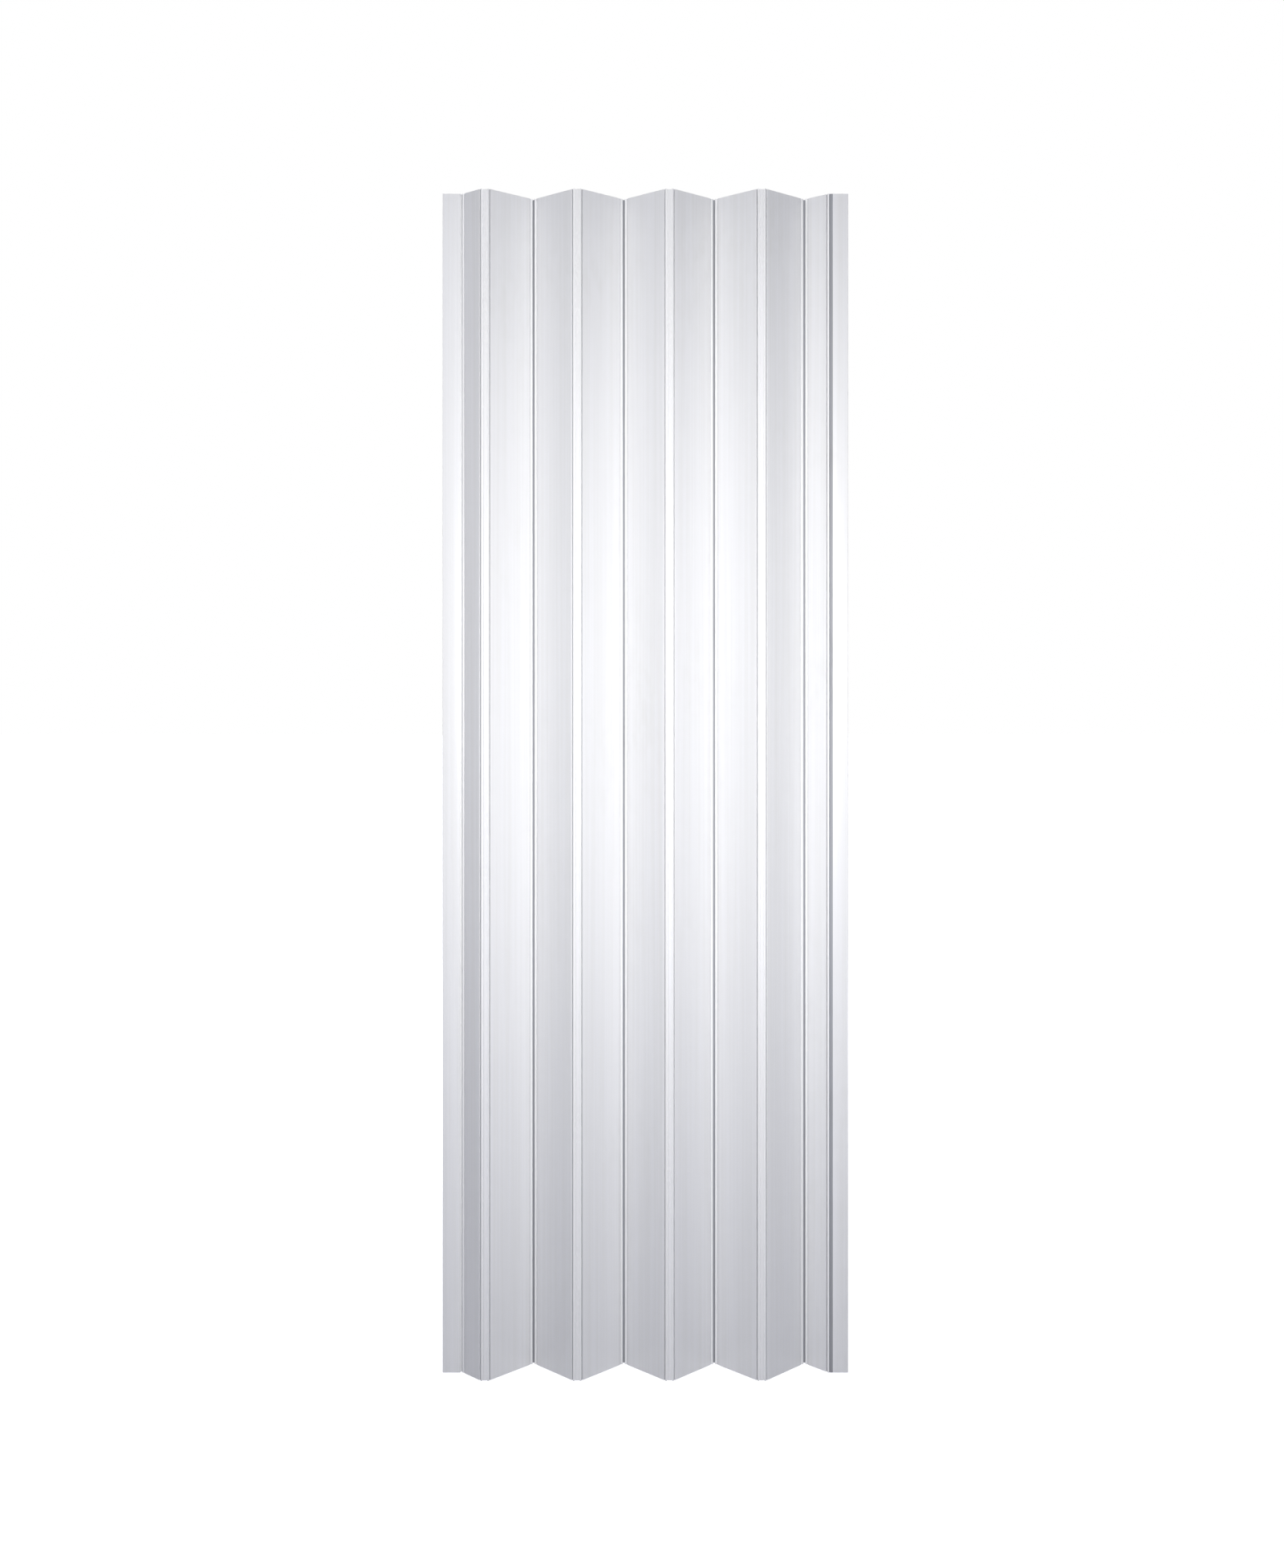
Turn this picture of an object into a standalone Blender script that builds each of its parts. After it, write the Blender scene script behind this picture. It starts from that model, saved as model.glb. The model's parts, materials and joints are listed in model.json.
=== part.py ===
"""Accordion door: hollow PVC slats that fold in a zigzag between a wall strip and a lead stile.

Each slat edge is a C-shaped socket. A dog-bone link lies between two slats, and its two bulbs turn in their
sockets. All sections are extrusions along Z. X runs across the opening from the wall, Y runs away from the
viewer, and the origin is on the wall strip's face against the wall, at mid-height and in line with the track.
"""

import math

import bmesh
import bpy

# Whole curtain, in metres and degrees
CURTAIN_HEIGHT = 2.000
FULL_SLATS = 7
FOLD_ANGLE = 44.5
LEAST_FOLD = 10.0
MOST_FOLD = 85.0

# Hollow slats
SLAT_SPAN = 0.0963
SLAT_THICKNESS = 0.0050
SLAT_WALL = 0.0009
RIB_THICKNESS = 0.0008
SLAT_CELLS = 7
HALF_SLAT_CELLS = 3
EDGE_RADIUS = 0.0008
CELL_CHAMFER = 0.0004

# Bead down each slat edge, with the neck that joins it to the slat
BEAD_WALL = 0.0009
NECK_THICKNESS = 0.0024
NECK_LENGTH = 0.0020

# Links and the bulbs that turn in the sockets
BULB_RADIUS = 0.00185
BULB_CLEARANCE = 0.00025
WEB_THICKNESS = 0.0008
BEAD_GAP = 0.0028
LINK_RECESS = 0.0010

# Wall strip and lead stile
STRIP_THICKNESS = 0.0050
STRIP_WALL = 0.0010
STRIP_CELLS = 2
LEG_REACH = 0.0220
WALL_STRIP_WIDTH = 0.0300
WALL_LEG_THICKNESS = 0.0024
LEAD_STRIP_WIDTH = 0.0266
LEAD_LEG_THICKNESS = 0.0042

# Screw holes in the wall strip's leg
SCREW_HOLES = 4
SCREW_HOLE_RADIUS = 0.0022
SCREW_HEAD_RADIUS = 0.0040
SCREW_END_DISTANCE = 0.120

# Magnet strip in the lead stile
MAGNET_WIDTH = 0.0100
MAGNET_THICKNESS = 0.0020
MAGNET_END_DISTANCE = 0.050

# Sleeves for the track glides, at the top of the slats
ANCHOR_LENGTH = 0.0250
STEM_SLOT_WIDTH = 0.0060
STEM_SLOT_THICKNESS = 0.0012

SEAT_CLEARANCE = 0.0003
ARC_STEP = 15.0
SHARP_ANGLE = 25.0

# Sizes that follow
BORE_RADIUS = BULB_RADIUS + BULB_CLEARANCE
BEAD_RADIUS = BORE_RADIUS + BEAD_WALL
LINK_SPAN = 2 * BEAD_RADIUS + BEAD_GAP
HALF_SLAT_SPAN = SLAT_SPAN / 2
SLOT_MARGIN = math.degrees(math.asin((WEB_THICKNESS / 2 + BULB_CLEARANCE) / BORE_RADIUS))
SLOT_START = LEAST_FOLD - SLOT_MARGIN
SLOT_END = MOST_FOLD + SLOT_MARGIN
WALL_STRIP_REACH = BEAD_RADIUS + BEAD_GAP + WALL_STRIP_WIDTH
CURTAIN_BOTTOM = -CURTAIN_HEIGHT / 2
CURTAIN_TOP = CURTAIN_HEIGHT / 2


def material(name, colour, roughness):
    """A plain plastic surface."""
    made = bpy.data.materials.new(name)
    made.use_nodes = True
    shader = made.node_tree.nodes["Principled BSDF"]
    shader.inputs["Base Color"].default_value = (*colour, 1.0)
    shader.inputs["Roughness"].default_value = roughness
    shader.inputs["Metallic"].default_value = 0.0
    made.diffuse_color = (*colour, 1.0)
    return made


def arc(centre, radius, start, end):
    """Points on a circle from one angle to another, in degrees, both ends included."""
    steps = max(2, math.ceil(abs(end - start) / ARC_STEP))
    angles = [math.radians(start + (end - start) * i / steps) for i in range(steps + 1)]
    return [(centre[0] + radius * math.cos(a), centre[1] + radius * math.sin(a)) for a in angles]


def moved(points, shift):
    return [(u + shift, n) for u, n in points]


def turned_half(points):
    """The points turned half way round about the origin."""
    return [(-u, -n) for u, n in points]


def mirrored(points, across_u=False):
    """The outline's mirror image, still listed anticlockwise."""
    if across_u:
        return [(-u, n) for u, n in reversed(points)]
    return [(u, -n) for u, n in reversed(points)]


def rounded_corner(corner, radius, start):
    """A quarter arc of an anticlockwise outline, which begins at the angle start."""
    middle = math.radians(start + 45.0)
    reach = radius * math.sqrt(2.0)
    centre = (corner[0] - reach * math.cos(middle), corner[1] - reach * math.sin(middle))
    return arc(centre, radius, start, start + 90.0)


def rectangle(left, right, front, back):
    return [(left, front), (right, front), (right, back), (left, back)]


def cell(left, right, front, back):
    """The outline of one hollow cell, with its corners cut."""
    cut = CELL_CHAMFER
    return [
        (left + cut, front),
        (right - cut, front),
        (right, front + cut),
        (right, back - cut),
        (right - cut, back),
        (left + cut, back),
        (left, back - cut),
        (left, front + cut),
    ]


def cells(left, right, thickness, wall, count):
    """A row of hollow cells between two end walls, parted by ribs."""
    half = thickness / 2 - wall
    pitch = (right - left + RIB_THICKNESS) / count
    return [
        cell(left + i * pitch, left + (i + 1) * pitch - RIB_THICKNESS, -half, half)
        for i in range(count)
    ]


def socket_end():
    """The outline of a slat's right end about its pivot, from the front face round to the back face.

    The socket's slot opens towards the back, from nearly in line with the slat to past square with it, so
    that the link's web can swing through the whole fold.
    """
    neck_angle = math.degrees(math.asin(NECK_THICKNESS / 2 / BEAD_RADIUS))
    body_end = -(BEAD_RADIUS + NECK_LENGTH)
    half = SLAT_THICKNESS / 2
    pivot = (0.0, 0.0)
    return [
        *rounded_corner((body_end, -half), EDGE_RADIUS, -90.0),
        (body_end, -NECK_THICKNESS / 2),
        *arc(pivot, BEAD_RADIUS, 180.0 + neck_angle, 360.0 + SLOT_START),
        *arc(pivot, BORE_RADIUS, 360.0 + SLOT_START, SLOT_END),
        *arc(pivot, BEAD_RADIUS, SLOT_END, 180.0 - neck_angle),
        (body_end, NECK_THICKNESS / 2),
        *rounded_corner((body_end, half), EDGE_RADIUS, 0.0),
    ]


def slat_section(span, cell_count, slots_face_back_on_left):
    """Outline and cells of a slat, from its left pivot at u = 0 to its right pivot at u = span."""
    end = socket_end()
    outline = moved(end, span) + turned_half(end)
    margin = BEAD_RADIUS + NECK_LENGTH + SLAT_WALL
    holes = cells(margin, span - margin, SLAT_THICKNESS, SLAT_WALL, cell_count)
    return (mirrored(outline) if slots_face_back_on_left else outline), holes


def bulb(centre, web_direction):
    """A link's bulb, as an arc that leaves room for the web."""
    web_angle = math.degrees(math.asin(WEB_THICKNESS / 2 / BULB_RADIUS))
    return arc(centre, BULB_RADIUS, web_direction + web_angle, web_direction + 360.0 - web_angle)


def link_section():
    """Outline of a dog-bone link between its two pivots."""
    return [*bulb((0.0, 0.0), 0.0), *bulb((LINK_SPAN, 0.0), 180.0)]


def end_strip_section(width, leg_thickness, channel_width=0.0, channel_depth=0.0):
    """Outline and cells of an end strip: a bulb and web, a flat front, and a leg that goes back.

    The pivot is at u = 0, the strip lies towards +u and the leg stands at its far edge. A channel may run
    down the leg's outer face.
    """
    near = BEAD_RADIUS + BEAD_GAP
    far = near + width
    half = STRIP_THICKNESS / 2
    back = LEG_REACH - half
    middle = (back - half) / 2
    web = WEB_THICKNESS / 2
    outline = [
        *bulb((0.0, 0.0), 0.0),
        (near, -web),
        *rounded_corner((near, -half), EDGE_RADIUS, 180.0),
        *rounded_corner((far, -half), EDGE_RADIUS, -90.0),
    ]
    if channel_width:
        outline += [
            (far, middle - channel_width / 2),
            (far - channel_depth, middle - channel_width / 2),
            (far - channel_depth, middle + channel_width / 2),
            (far, middle + channel_width / 2),
        ]
    outline += [
        *rounded_corner((far, back), EDGE_RADIUS, 0.0),
        *rounded_corner((far - leg_thickness, back), EDGE_RADIUS, 90.0),
        (far - leg_thickness, half),
        *rounded_corner((near, half), EDGE_RADIUS, 90.0),
        (near, web),
    ]
    holes = cells(near + STRIP_WALL, far - leg_thickness, STRIP_THICKNESS, STRIP_WALL, STRIP_CELLS)
    return outline, holes


def extruded(name, outline, holes, bottom, top, finish):
    """An object that is a section in the XY plane, drawn out along Z."""
    shape = bmesh.new()
    for loop in [outline, *holes]:
        corners = [shape.verts.new((u, n, bottom)) for u, n in loop]
        for i, corner in enumerate(corners):
            shape.edges.new((corners[i - 1], corner))
    bmesh.ops.triangle_fill(shape, use_beauty=True, use_dissolve=False, edges=shape.edges[:])
    drawn = bmesh.ops.extrude_face_region(shape, geom=shape.faces[:])
    raised = [item for item in drawn["geom"] if isinstance(item, bmesh.types.BMVert)]
    bmesh.ops.translate(shape, verts=raised, vec=(0.0, 0.0, top - bottom))
    bmesh.ops.recalc_face_normals(shape, faces=shape.faces[:])
    mesh = bpy.data.meshes.new(name)
    shape.to_mesh(mesh)
    shape.free()
    mesh.materials.append(finish)
    mesh.shade_smooth()
    mesh.set_sharp_from_angle(angle=math.radians(SHARP_ANGLE))
    made = bpy.data.objects.new(name, mesh)
    bpy.context.scene.collection.objects.link(made)
    return made


def hinged(piece, carrier, distance, angle):
    """Hangs a piece on its carrier: its pivot lies that far along the carrier, and it turns about it."""
    piece.parent = carrier
    piece.location = (distance, 0.0, 0.0)
    piece.rotation_euler = (0.0, 0.0, angle)
    return piece


def wall_strip(finish):
    """The strip that is screwed to the wall through its leg."""
    section, holes = end_strip_section(WALL_STRIP_WIDTH, WALL_LEG_THICKNESS)
    outline = mirrored(section, across_u=True)
    holes = [mirrored(hole, across_u=True) for hole in holes]
    strip = extruded("jamb_strip", outline, holes, CURTAIN_BOTTOM, CURTAIN_TOP, finish)
    strip.location = (WALL_STRIP_REACH, 0.0, 0.0)
    cutter = screw_hole_cutter()
    cut = strip.modifiers.new("screw_holes", "BOOLEAN")
    cut.operation = "DIFFERENCE"
    cut.solver = "EXACT"
    cut.object = cutter
    return strip


def screw_hole_cutter():
    """Countersunk screw holes through the leg, turned about X and spaced evenly up the strip."""
    sink = SCREW_HEAD_RADIUS - SCREW_HOLE_RADIUS
    past = SEAT_CLEARANCE
    profile = [
        (-past, 0.0),
        (-past, SCREW_HOLE_RADIUS),
        (WALL_LEG_THICKNESS - sink, SCREW_HOLE_RADIUS),
        (WALL_LEG_THICKNESS + past, SCREW_HEAD_RADIUS + past),
        (WALL_LEG_THICKNESS + past, 0.0),
    ]
    leg_middle = LEG_REACH / 2
    spacing = (CURTAIN_HEIGHT - 2 * SCREW_END_DISTANCE) / (SCREW_HOLES - 1)
    shape = bmesh.new()
    for i in range(SCREW_HOLES):
        height = CURTAIN_BOTTOM + SCREW_END_DISTANCE + i * spacing
        centre = (0.0, leg_middle, height)
        rim = [shape.verts.new((x, leg_middle + r, height)) for x, r in profile]
        edges = [shape.edges.new(pair) for pair in zip(rim, rim[1:])]
        bmesh.ops.spin(
            shape,
            geom=rim + edges,
            cent=centre,
            axis=(1.0, 0.0, 0.0),
            angle=math.tau,
            steps=round(360.0 / ARC_STEP),
            use_merge=True,
        )
    bmesh.ops.remove_doubles(shape, verts=shape.verts[:], dist=1e-6)
    bmesh.ops.recalc_face_normals(shape, faces=shape.faces[:])
    mesh = bpy.data.meshes.new("screw_hole_cutter")
    shape.to_mesh(mesh)
    shape.free()
    cutter = bpy.data.objects.new("screw_hole_cutter", mesh)
    bpy.context.scene.collection.objects.link(cutter)
    cutter.hide_render = True
    cutter.display_type = "WIRE"
    return cutter


def lead_stile(finish):
    """The closing strip, with a channel for the magnet strip down its outer face."""
    channel_width = MAGNET_WIDTH + 2 * SEAT_CLEARANCE
    channel_depth = MAGNET_THICKNESS + SEAT_CLEARANCE
    outline, holes = end_strip_section(LEAD_STRIP_WIDTH, LEAD_LEG_THICKNESS, channel_width, channel_depth)
    return extruded("lead_stile", outline, holes, CURTAIN_BOTTOM, CURTAIN_TOP, finish), holes[-1]


def lead_magnet(finish):
    """The magnet strip, flush with the stile's outer face."""
    far = BEAD_RADIUS + BEAD_GAP + LEAD_STRIP_WIDTH
    near = far - MAGNET_THICKNESS
    middle = (LEG_REACH - STRIP_THICKNESS) / 2
    outline = rectangle(near, far, middle - MAGNET_WIDTH / 2, middle + MAGNET_WIDTH / 2)
    bottom = CURTAIN_BOTTOM + MAGNET_END_DISTANCE
    top = CURTAIN_TOP - MAGNET_END_DISTANCE
    return extruded("lead_magnet", outline, [], bottom, top, finish)


def glide_anchor(name, hollow, finish):
    """A sleeve that fills the top of one hollow cell and takes the flat stem of a track glide."""
    left = min(u for u, _ in hollow) + SEAT_CLEARANCE
    right = max(u for u, _ in hollow) - SEAT_CLEARANCE
    back = max(n for _, n in hollow) - SEAT_CLEARANCE
    middle = (left + right) / 2
    half_width = STEM_SLOT_WIDTH / 2
    half_thickness = STEM_SLOT_THICKNESS / 2
    stem = rectangle(middle - half_width, middle + half_width, -half_thickness, half_thickness)
    outline = cell(left, right, -back, back)
    return extruded(name, outline, [stem], CURTAIN_TOP - ANCHOR_LENGTH, CURTAIN_TOP, finish)


def slat(name, span, cell_count, fold, finish):
    """A slat whose sockets open on the sides that it folds towards."""
    outline, holes = slat_section(span, cell_count, slots_face_back_on_left=fold > 0.0)
    return extruded(name, outline, holes, CURTAIN_BOTTOM, CURTAIN_TOP, finish), holes[cell_count // 2]


def link(name, finish):
    bottom = CURTAIN_BOTTOM + LINK_RECESS
    return extruded(name, link_section(), [], bottom, CURTAIN_TOP - LINK_RECESS, finish)


def main():
    for old in list(bpy.data.objects):
        bpy.data.objects.remove(old, do_unlink=True)

    vinyl = material("white_vinyl", (0.88, 0.88, 0.88), 0.38)
    soft_vinyl = material("soft_white_vinyl", (0.80, 0.80, 0.80), 0.50)
    nylon = material("nylon", (0.72, 0.71, 0.68), 0.45)
    magnet_rubber = material("magnet_rubber", (0.05, 0.045, 0.04), 0.80)

    carrier = wall_strip(vinyl)
    reach = 0.0
    fold = -math.radians(FOLD_ANGLE)
    last = FULL_SLATS + 1
    for i in range(last + 1):
        if i > 0:
            fold = -fold
            carrier = hinged(link(f"link_{i}", soft_vinyl), carrier, reach, fold)
            reach = LINK_SPAN
        if i == 0 or i == last:
            name = "half_slat_wall" if i == 0 else "half_slat_lead"
            made, hollow = slat(name, HALF_SLAT_SPAN, HALF_SLAT_CELLS, fold, vinyl)
            hinged(made, carrier, reach, fold)
            reach = HALF_SLAT_SPAN
        else:
            made, hollow = slat(f"slat_{i}", SLAT_SPAN, SLAT_CELLS, fold, vinyl)
            hinged(made, carrier, reach, fold)
            hinged(glide_anchor(f"glide_anchor_{i}", hollow, nylon), made, 0.0, 0.0)
            reach = SLAT_SPAN
        carrier = made
    stile, hollow = lead_stile(vinyl)
    hinged(stile, carrier, reach, -fold)
    hinged(lead_magnet(magnet_rubber), stile, 0.0, 0.0)
    hinged(glide_anchor("glide_anchor_lead", hollow, nylon), stile, 0.0, 0.0)


main()
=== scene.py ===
"""Looks of the accordion door: white vinyl slats on hinge links, a wall strip, a lead stile, a studio.

All sizes are in metres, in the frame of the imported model: X across the opening, Y away from the viewer and
Z up. Angles are in degrees where nothing else is said.
"""

from __future__ import annotations

import json
import logging
import math
from collections.abc import Callable, Iterator
from contextlib import contextmanager
from dataclasses import dataclass
from enum import Enum

import bmesh
import bpy
from mathutils import Matrix, Vector

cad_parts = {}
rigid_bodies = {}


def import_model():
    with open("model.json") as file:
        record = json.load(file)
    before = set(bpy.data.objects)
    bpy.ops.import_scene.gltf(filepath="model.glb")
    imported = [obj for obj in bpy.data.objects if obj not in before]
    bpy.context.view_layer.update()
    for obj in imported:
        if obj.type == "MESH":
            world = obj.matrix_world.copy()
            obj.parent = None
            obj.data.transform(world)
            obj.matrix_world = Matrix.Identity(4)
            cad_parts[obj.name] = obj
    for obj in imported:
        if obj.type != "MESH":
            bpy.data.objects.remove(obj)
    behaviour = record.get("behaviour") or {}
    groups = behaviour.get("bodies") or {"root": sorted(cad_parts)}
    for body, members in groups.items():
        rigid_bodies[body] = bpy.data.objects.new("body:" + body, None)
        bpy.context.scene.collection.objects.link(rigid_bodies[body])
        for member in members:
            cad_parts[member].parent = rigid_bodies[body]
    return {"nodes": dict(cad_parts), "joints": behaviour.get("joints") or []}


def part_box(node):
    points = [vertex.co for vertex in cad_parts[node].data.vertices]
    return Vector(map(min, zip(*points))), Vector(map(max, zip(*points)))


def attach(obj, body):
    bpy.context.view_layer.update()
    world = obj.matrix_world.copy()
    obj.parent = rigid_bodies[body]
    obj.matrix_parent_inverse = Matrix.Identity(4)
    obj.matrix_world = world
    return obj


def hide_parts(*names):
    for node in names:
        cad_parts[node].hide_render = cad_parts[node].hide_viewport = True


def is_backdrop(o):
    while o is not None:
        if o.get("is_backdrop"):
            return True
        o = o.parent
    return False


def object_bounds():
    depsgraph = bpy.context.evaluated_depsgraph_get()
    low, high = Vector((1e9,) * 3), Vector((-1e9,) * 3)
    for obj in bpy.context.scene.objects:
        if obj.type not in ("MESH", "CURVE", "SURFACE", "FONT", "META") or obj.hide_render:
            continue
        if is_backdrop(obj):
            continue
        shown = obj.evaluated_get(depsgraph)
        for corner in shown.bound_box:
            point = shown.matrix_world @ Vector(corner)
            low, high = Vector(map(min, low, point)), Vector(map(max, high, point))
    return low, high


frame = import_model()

CAD_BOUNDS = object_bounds()
LOG = logging.getLogger("accordion_door")

Point = tuple[float, float, float]
Colour = tuple[float, float, float]

DOUBLE_GAP = 1e-6  # points closer than this are one point
SLACK = 1e-5  # how far a tested place may lie off the plane that it is tested against
OVERCUT = 0.010  # how far a cutter runs out past the piece
ALIGNED = 0.99  # least share of a length that lies along an axis
CIRCLE_SIDES = 72
BEVEL_STEPS = 5


class Fold(Enum):
    """The two kinds of fold, seen from the front, each with the sign of Y on its outer side."""

    RIDGE = -1
    VALLEY = 1


class Slot(Enum):
    """The record's material slots."""

    VINYL = "white_vinyl"
    LINK = "link_vinyl"
    NYLON = "nylon"
    MAGNET = "magnet_rubber"


class Cut(Enum):
    """What a boolean step does with its tools."""

    JOIN = "UNION"
    REMOVE = "DIFFERENCE"


class Part(Enum):
    """The kinds of mesh part that can be selected."""

    POINTS = "VERT"
    EDGES = "EDGE"
    FACES = "FACE"


class Nodes:
    """The node tree of one material or world."""

    def __init__(self, tree: bpy.types.NodeTree) -> None:
        """Wraps a node tree."""
        self.tree = tree

    def add(
        self,
        kind: str,
        settings: dict[str, object] | None = None,
        inputs: dict[str | int, object] | None = None,
        output: str | int = 0,
    ) -> Shader:
        """Adds any node.

        Args:
            kind: The node's type name.
            settings: Properties of the node, set before its sockets.
            inputs: Values or Shader links of its sockets, by name or number.
            output: Which output to return.

        Returns:
            The node's output.
        """
        made = self.tree.nodes.new(kind)
        for name, value in (settings or {}).items():
            if name == "stops":
                self._set_stops(made, value)
            else:
                setattr(made, name, value)
        self.feed(made, inputs or {})
        return Shader(self, made.outputs[output])

    def feed(self, node: bpy.types.Node, inputs: dict[str | int, object]) -> None:
        """Sets or links a node's sockets.

        Args:
            node: The node.
            inputs: Values or Shader links of its sockets, by name or number.
        """
        for name, value in inputs.items():
            if isinstance(value, Shader):
                self.tree.links.new(value.socket, node.inputs[name])
            else:
                node.inputs[name].default_value = value

    @staticmethod
    def _set_stops(ramp: bpy.types.Node, stops: list[tuple[float, float]]) -> None:
        """Gives a colour ramp its two grey stops.

        Args:
            ramp: The ramp node.
            stops: The stops, each a position and a grey value.
        """
        for element, (position, grey) in zip(ramp.color_ramp.elements, stops, strict=True):
            element.position = position
            element.color = (grey, grey, grey, 1.0)


class Shader:
    """One socket of a node tree, with arithmetic that adds nodes."""

    def __init__(self, nodes: Nodes, socket: bpy.types.NodeSocket) -> None:
        """Wraps a socket of a node tree."""
        self.nodes = nodes
        self.socket = socket

    def math(self, operation: str, other: Shader | float) -> Shader:
        """Adds a Math node on this value and another."""
        return self.nodes.add("ShaderNodeMath", {"operation": operation}, {0: self, 1: other})

    def __add__(self, other: Shader | float) -> Shader:
        """This value plus the other."""
        return self.math("ADD", other)

    def __radd__(self, other: float) -> Shader:
        """The number plus this value."""
        return self + other

    def __sub__(self, other: Shader | float) -> Shader:
        """This value less the other."""
        return self.math("SUBTRACT", other)

    def __rsub__(self, other: float) -> Shader:
        """The number less this value."""
        return (self * -1.0) + other

    def __mul__(self, other: Shader | float) -> Shader:
        """This value times the other."""
        return self.math("MULTIPLY", other)

    def __rmul__(self, other: float) -> Shader:
        """The number times this value."""
        return self * other

    def rise(self, start: float, end: float) -> Shader:
        """A grey ramp on this value, which is 0 up to the start and 1 from the end on."""
        return self.nodes.add("ShaderNodeValToRGB", {"stops": [(start, 0.0), (end, 1.0)]}, {"Fac": self})

    def between(self, low: Colour, high: Colour) -> Shader:
        """Mixes two colours by this value.

        Args:
            low: The colour where this value is 0.
            high: The colour where it is 1.

        Returns:
            The mixed colour.
        """
        factor, first, second, result = 0, 6, 7, 2
        inputs = {factor: self, first: (*low, 1.0), second: (*high, 1.0)}
        return self.nodes.add("ShaderNodeMix", {"data_type": "RGBA"}, inputs, result)


@dataclass(frozen=True)
class Finish:
    """A surface finish, from which a material is made."""

    name: str
    colour: Colour
    roughness: float

    def build(self) -> bpy.types.Material:
        """Makes the material.

        Returns:
            The material, with the finish's own pattern wired to its Principled shader.
        """
        made = bpy.data.materials.new(self.name)
        made.use_nodes = True
        nodes = Nodes(made.node_tree)
        shader = made.node_tree.nodes["Principled BSDF"]
        nodes.feed(shader, {"Base Color": (*self.colour, 1.0), "Roughness": self.roughness})
        self.pattern(nodes, shader)
        return made

    def pattern(self, nodes: Nodes, shader: bpy.types.Node) -> None:
        """Wires what changes over the surface; a plain finish has nothing."""

    @staticmethod
    def noise(nodes: Nodes, frequency: Point, detail: float = 2.0) -> Shader:
        """Noise over the piece.

        Args:
            nodes: The material's nodes.
            frequency: How many blobs a metre holds along X, Y and Z.
            detail: How many finer layers are added.

        Returns:
            The noise, from 0 to 1 and mostly near one half.
        """
        place = nodes.add("ShaderNodeTexCoord", output="Object")
        scaled = nodes.add("ShaderNodeMapping", inputs={"Vector": place, "Scale": frequency})
        inputs = {"Vector": scaled, "Scale": 1.0, "Detail": detail, "Roughness": 0.5}
        return nodes.add("ShaderNodeTexNoise", inputs=inputs)

    @staticmethod
    def relief(nodes: Nodes, shader: bpy.types.Node, height: Shader, depth: float) -> None:
        """Wires a height, from 0 to 1, as surface relief.

        Args:
            nodes: The material's nodes.
            shader: The Principled shader.
            height: The height.
            depth: How deep the relief is, in metres.
        """
        bump = nodes.add("ShaderNodeBump", inputs={"Strength": 1.0, "Distance": depth, "Height": height})
        nodes.feed(shader, {"Normal": bump})


@dataclass(frozen=True)
class Vinyl(Finish):
    """Extruded white vinyl: a satin skin with a fine embossed grain, draw lines and traces of handling."""

    scuffed: Colour = (0.80, 0.80, 0.79)
    grain_pitch: float = 0.0030
    grain_length: float = 0.0090
    line_pitch: float = 0.0016
    line_length: float = 0.60
    line_strength: float = 0.10
    band_pitch: float = 0.0055
    band_strength: float = 0.45
    cloud_frequency: Point = (5.0, 5.0, 3.0)
    smear_frequency: Point = (60.0, 60.0, 24.0)
    mark_strength: float = 0.35
    grain_share: float = 0.6
    depth: float = 0.00010
    grain_shine: float = 0.20
    cloud_shine: float = 0.15
    mark_shine: float = 0.08

    def pattern(self, nodes: Nodes, shader: bpy.types.Node) -> None:
        """Wires the grain, the draw lines and bands, and the handling marks.

        Args:
            nodes: The material's nodes.
            shader: The Principled shader.
        """
        grain = self._drawn_noise(nodes, self.grain_pitch, self.grain_length, detail=3.0)
        lines = self._drawn_noise(nodes, self.line_pitch, self.line_length, detail=1.0)
        relief = grain * self.grain_share + lines * (1.0 - self.grain_share)
        self.relief(nodes, shader, relief, self.depth)
        bands = self._drawn_noise(nodes, self.band_pitch, self.line_length)
        clouds = self.noise(nodes, self.cloud_frequency, detail=4.0)
        smears = self.noise(nodes, self.smear_frequency)
        marks = clouds.rise(0.50, 0.72) * smears.rise(0.45, 0.65)
        drawn = lines.rise(0.35, 0.75) * self.line_strength + bands.rise(0.35, 0.65) * self.band_strength
        tone = (marks * self.mark_strength + drawn).math("MINIMUM", 1.0)
        nodes.feed(shader, {"Base Color": tone.between(self.colour, self.scuffed)})
        shine = (grain - 0.5) * self.grain_shine + (clouds - 0.5) * self.cloud_shine
        nodes.feed(shader, {"Roughness": shine + marks * self.mark_shine + self.roughness})

    def _drawn_noise(self, nodes: Nodes, pitch: float, length: float, detail: float = 2.0) -> Shader:
        """Noise that is drawn out along Z, as a die leaves it.

        Args:
            nodes: The material's nodes.
            pitch: The size of its blobs across the piece.
            length: Their length along Z.
            detail: How many finer layers are added.

        Returns:
            The noise.
        """
        return self.noise(nodes, (1 / pitch, 1 / pitch, 1 / length), detail)


@dataclass(frozen=True)
class Nylon(Finish):
    """Moulded natural nylon with a faint orange peel."""

    peel_frequency: Point = (900.0, 900.0, 900.0)
    depth: float = 0.00005
    peel_shine: float = 0.2

    def pattern(self, nodes: Nodes, shader: bpy.types.Node) -> None:
        """Wires the orange peel and a slight change of shine.

        Args:
            nodes: The material's nodes.
            shader: The Principled shader.
        """
        peel = self.noise(nodes, self.peel_frequency)
        self.relief(nodes, shader, peel, self.depth)
        nodes.feed(shader, {"Roughness": (peel - 0.5) * self.peel_shine + self.roughness})


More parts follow.
